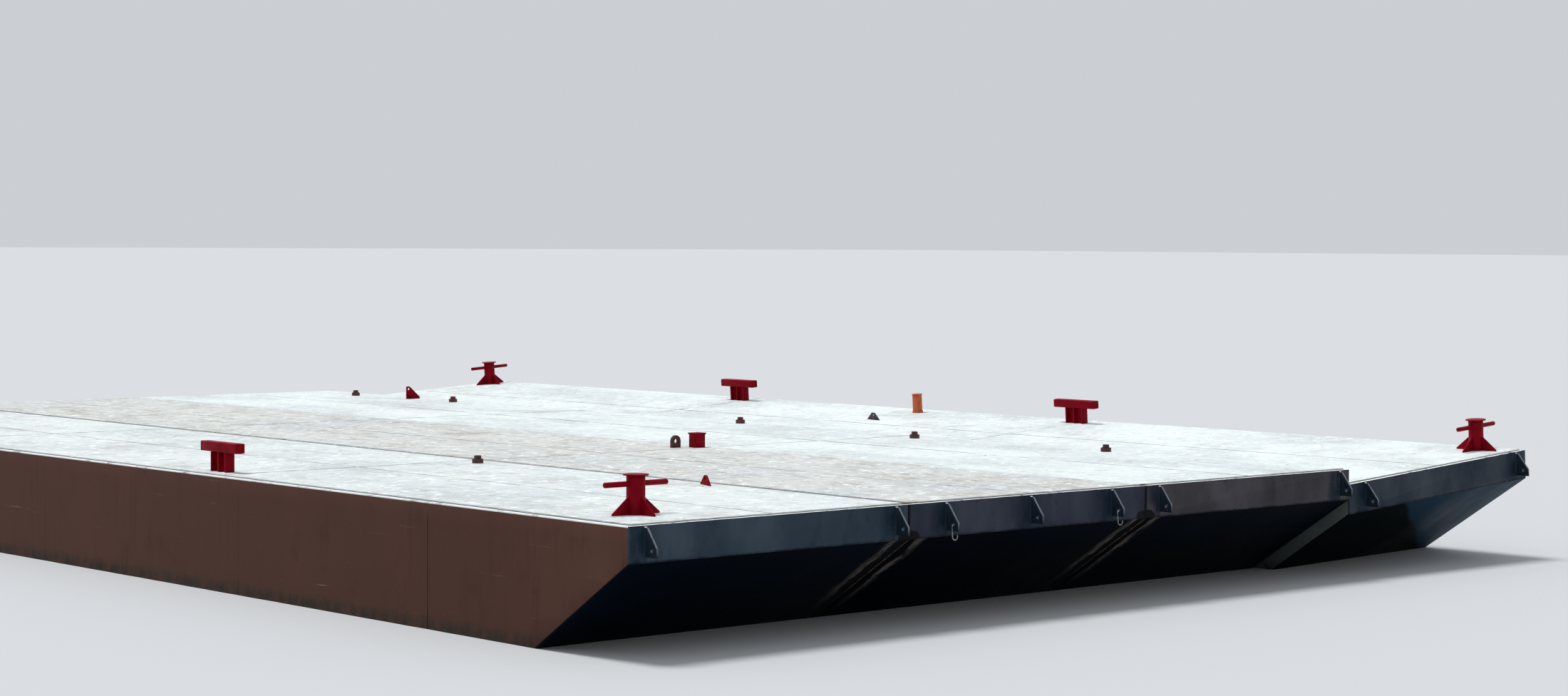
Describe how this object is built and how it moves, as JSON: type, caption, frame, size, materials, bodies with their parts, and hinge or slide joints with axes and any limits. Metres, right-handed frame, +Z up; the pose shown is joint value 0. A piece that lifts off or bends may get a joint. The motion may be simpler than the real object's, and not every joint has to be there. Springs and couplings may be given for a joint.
{
  "type": "sectional deck barge",
  "caption": "Flat-deck steel work barge of raked sections laid side by side, with corner mooring posts, T-head bollards and end lugs.",
  "frame": {"origin": "middle of the base: centred across and along the bounding box, at the level of its lowest point", "axes": "+Y along the barge from the near raked end to the far one, +X across it towards the listing section 4, +Z up"},
  "size_m": [12.3114, 18.588, 2.3613],
  "materials": {
    "primer_brown": "matt brown primer",
    "headlog_grey": "dark blue-grey paint, scuffed",
    "rake_black": "near-black bottom coating",
    "deck_white": "worn pale grey non-slip paint",
    "mooring_red": "deep red gloss, worn at the edges",
    "plug_steel": "dark rusted steel",
    "pipe_orange": "orange-red oxide primer",
    "hook_steel": "dull galvanised steel"
  },
  "bodies": {
    "barge": {"section_1_hull": "primer_brown", "section_1_near_headlog": "headlog_grey", "section_1_near_rake_plate": "rake_black", "section_1_far_headlog": "headlog_grey", "section_1_far_rake_plate": "rake_black", "section_1_deck_plate": "deck_white", "section_2_hull": "primer_brown", "section_2_near_headlog": "headlog_grey", "section_2_near_rake_plate": "rake_black", "section_2_far_headlog": "headlog_grey", "section_2_far_rake_plate": "rake_black", "section_2_deck_plate": "deck_white", "section_3_hull": "primer_brown", "section_3_near_headlog": "headlog_grey", "section_3_near_rake_plate": "rake_black", "section_3_far_headlog": "headlog_grey", "section_3_far_rake_plate": "rake_black", "section_3_deck_plate": "deck_white", "section_4_hull": "primer_brown", "section_4_near_headlog": "headlog_grey", "section_4_near_rake_plate": "rake_black", "section_4_far_headlog": "headlog_grey", "section_4_far_rake_plate": "rake_black", "section_4_deck_plate": "deck_white", "seam_2_3_cover_strip": "deck_white", "mooring_post_near_left": "mooring_red", "mooring_post_near_right": "mooring_red", "mooring_post_far_left": "mooring_red", "mooring_post_far_right": "mooring_red", "mooring_post_pin_near_left": "mooring_red", "mooring_post_pin_near_right": "mooring_red", "mooring_post_pin_far_left": "mooring_red", "mooring_post_pin_far_right": "mooring_red", "bollard_stem_left_1": "mooring_red", "bollard_stem_left_2": "mooring_red", "bollard_stem_right_1": "mooring_red", "bollard_stem_right_2": "mooring_red", "bollard_head_left_1": "mooring_red", "bollard_head_left_2": "mooring_red", "bollard_head_right_1": "mooring_red", "bollard_head_right_2": "mooring_red", "tank_plug_section_1": "plug_steel", "tank_plug_section_3_a": "plug_steel", "tank_plug_section_3_b": "plug_steel", "tank_plug_section_3_c": "plug_steel", "tank_plug_section_3_d": "plug_steel", "tank_plug_section_3_e": "plug_steel", "pad_eye_section_1": "mooring_red", "pad_eye_section_4": "plug_steel", "tall_pad_eye": "mooring_red", "ring_pad_eye": "plug_steel", "stub_post": "mooring_red", "standpipe": "pipe_orange"},
    "left_hook": {"hook_left": "hook_steel"},
    "right_hook": {"hook_right": "hook_steel"}
  },
  "joints": [
    {"name": "left_hook_swing", "type": "hinge", "parent": "barge", "child": "left_hook", "pos_m": [-2.65739, -9.234, 1.77698], "axis": [1, 0, 0], "range_deg": [-35, 35]},
    {"name": "right_hook_swing", "type": "hinge", "parent": "barge", "child": "right_hook", "pos_m": [-0.52738, -9.234, 1.77698], "axis": [1, 0, 0], "range_deg": [-35, 35]}
  ]
}
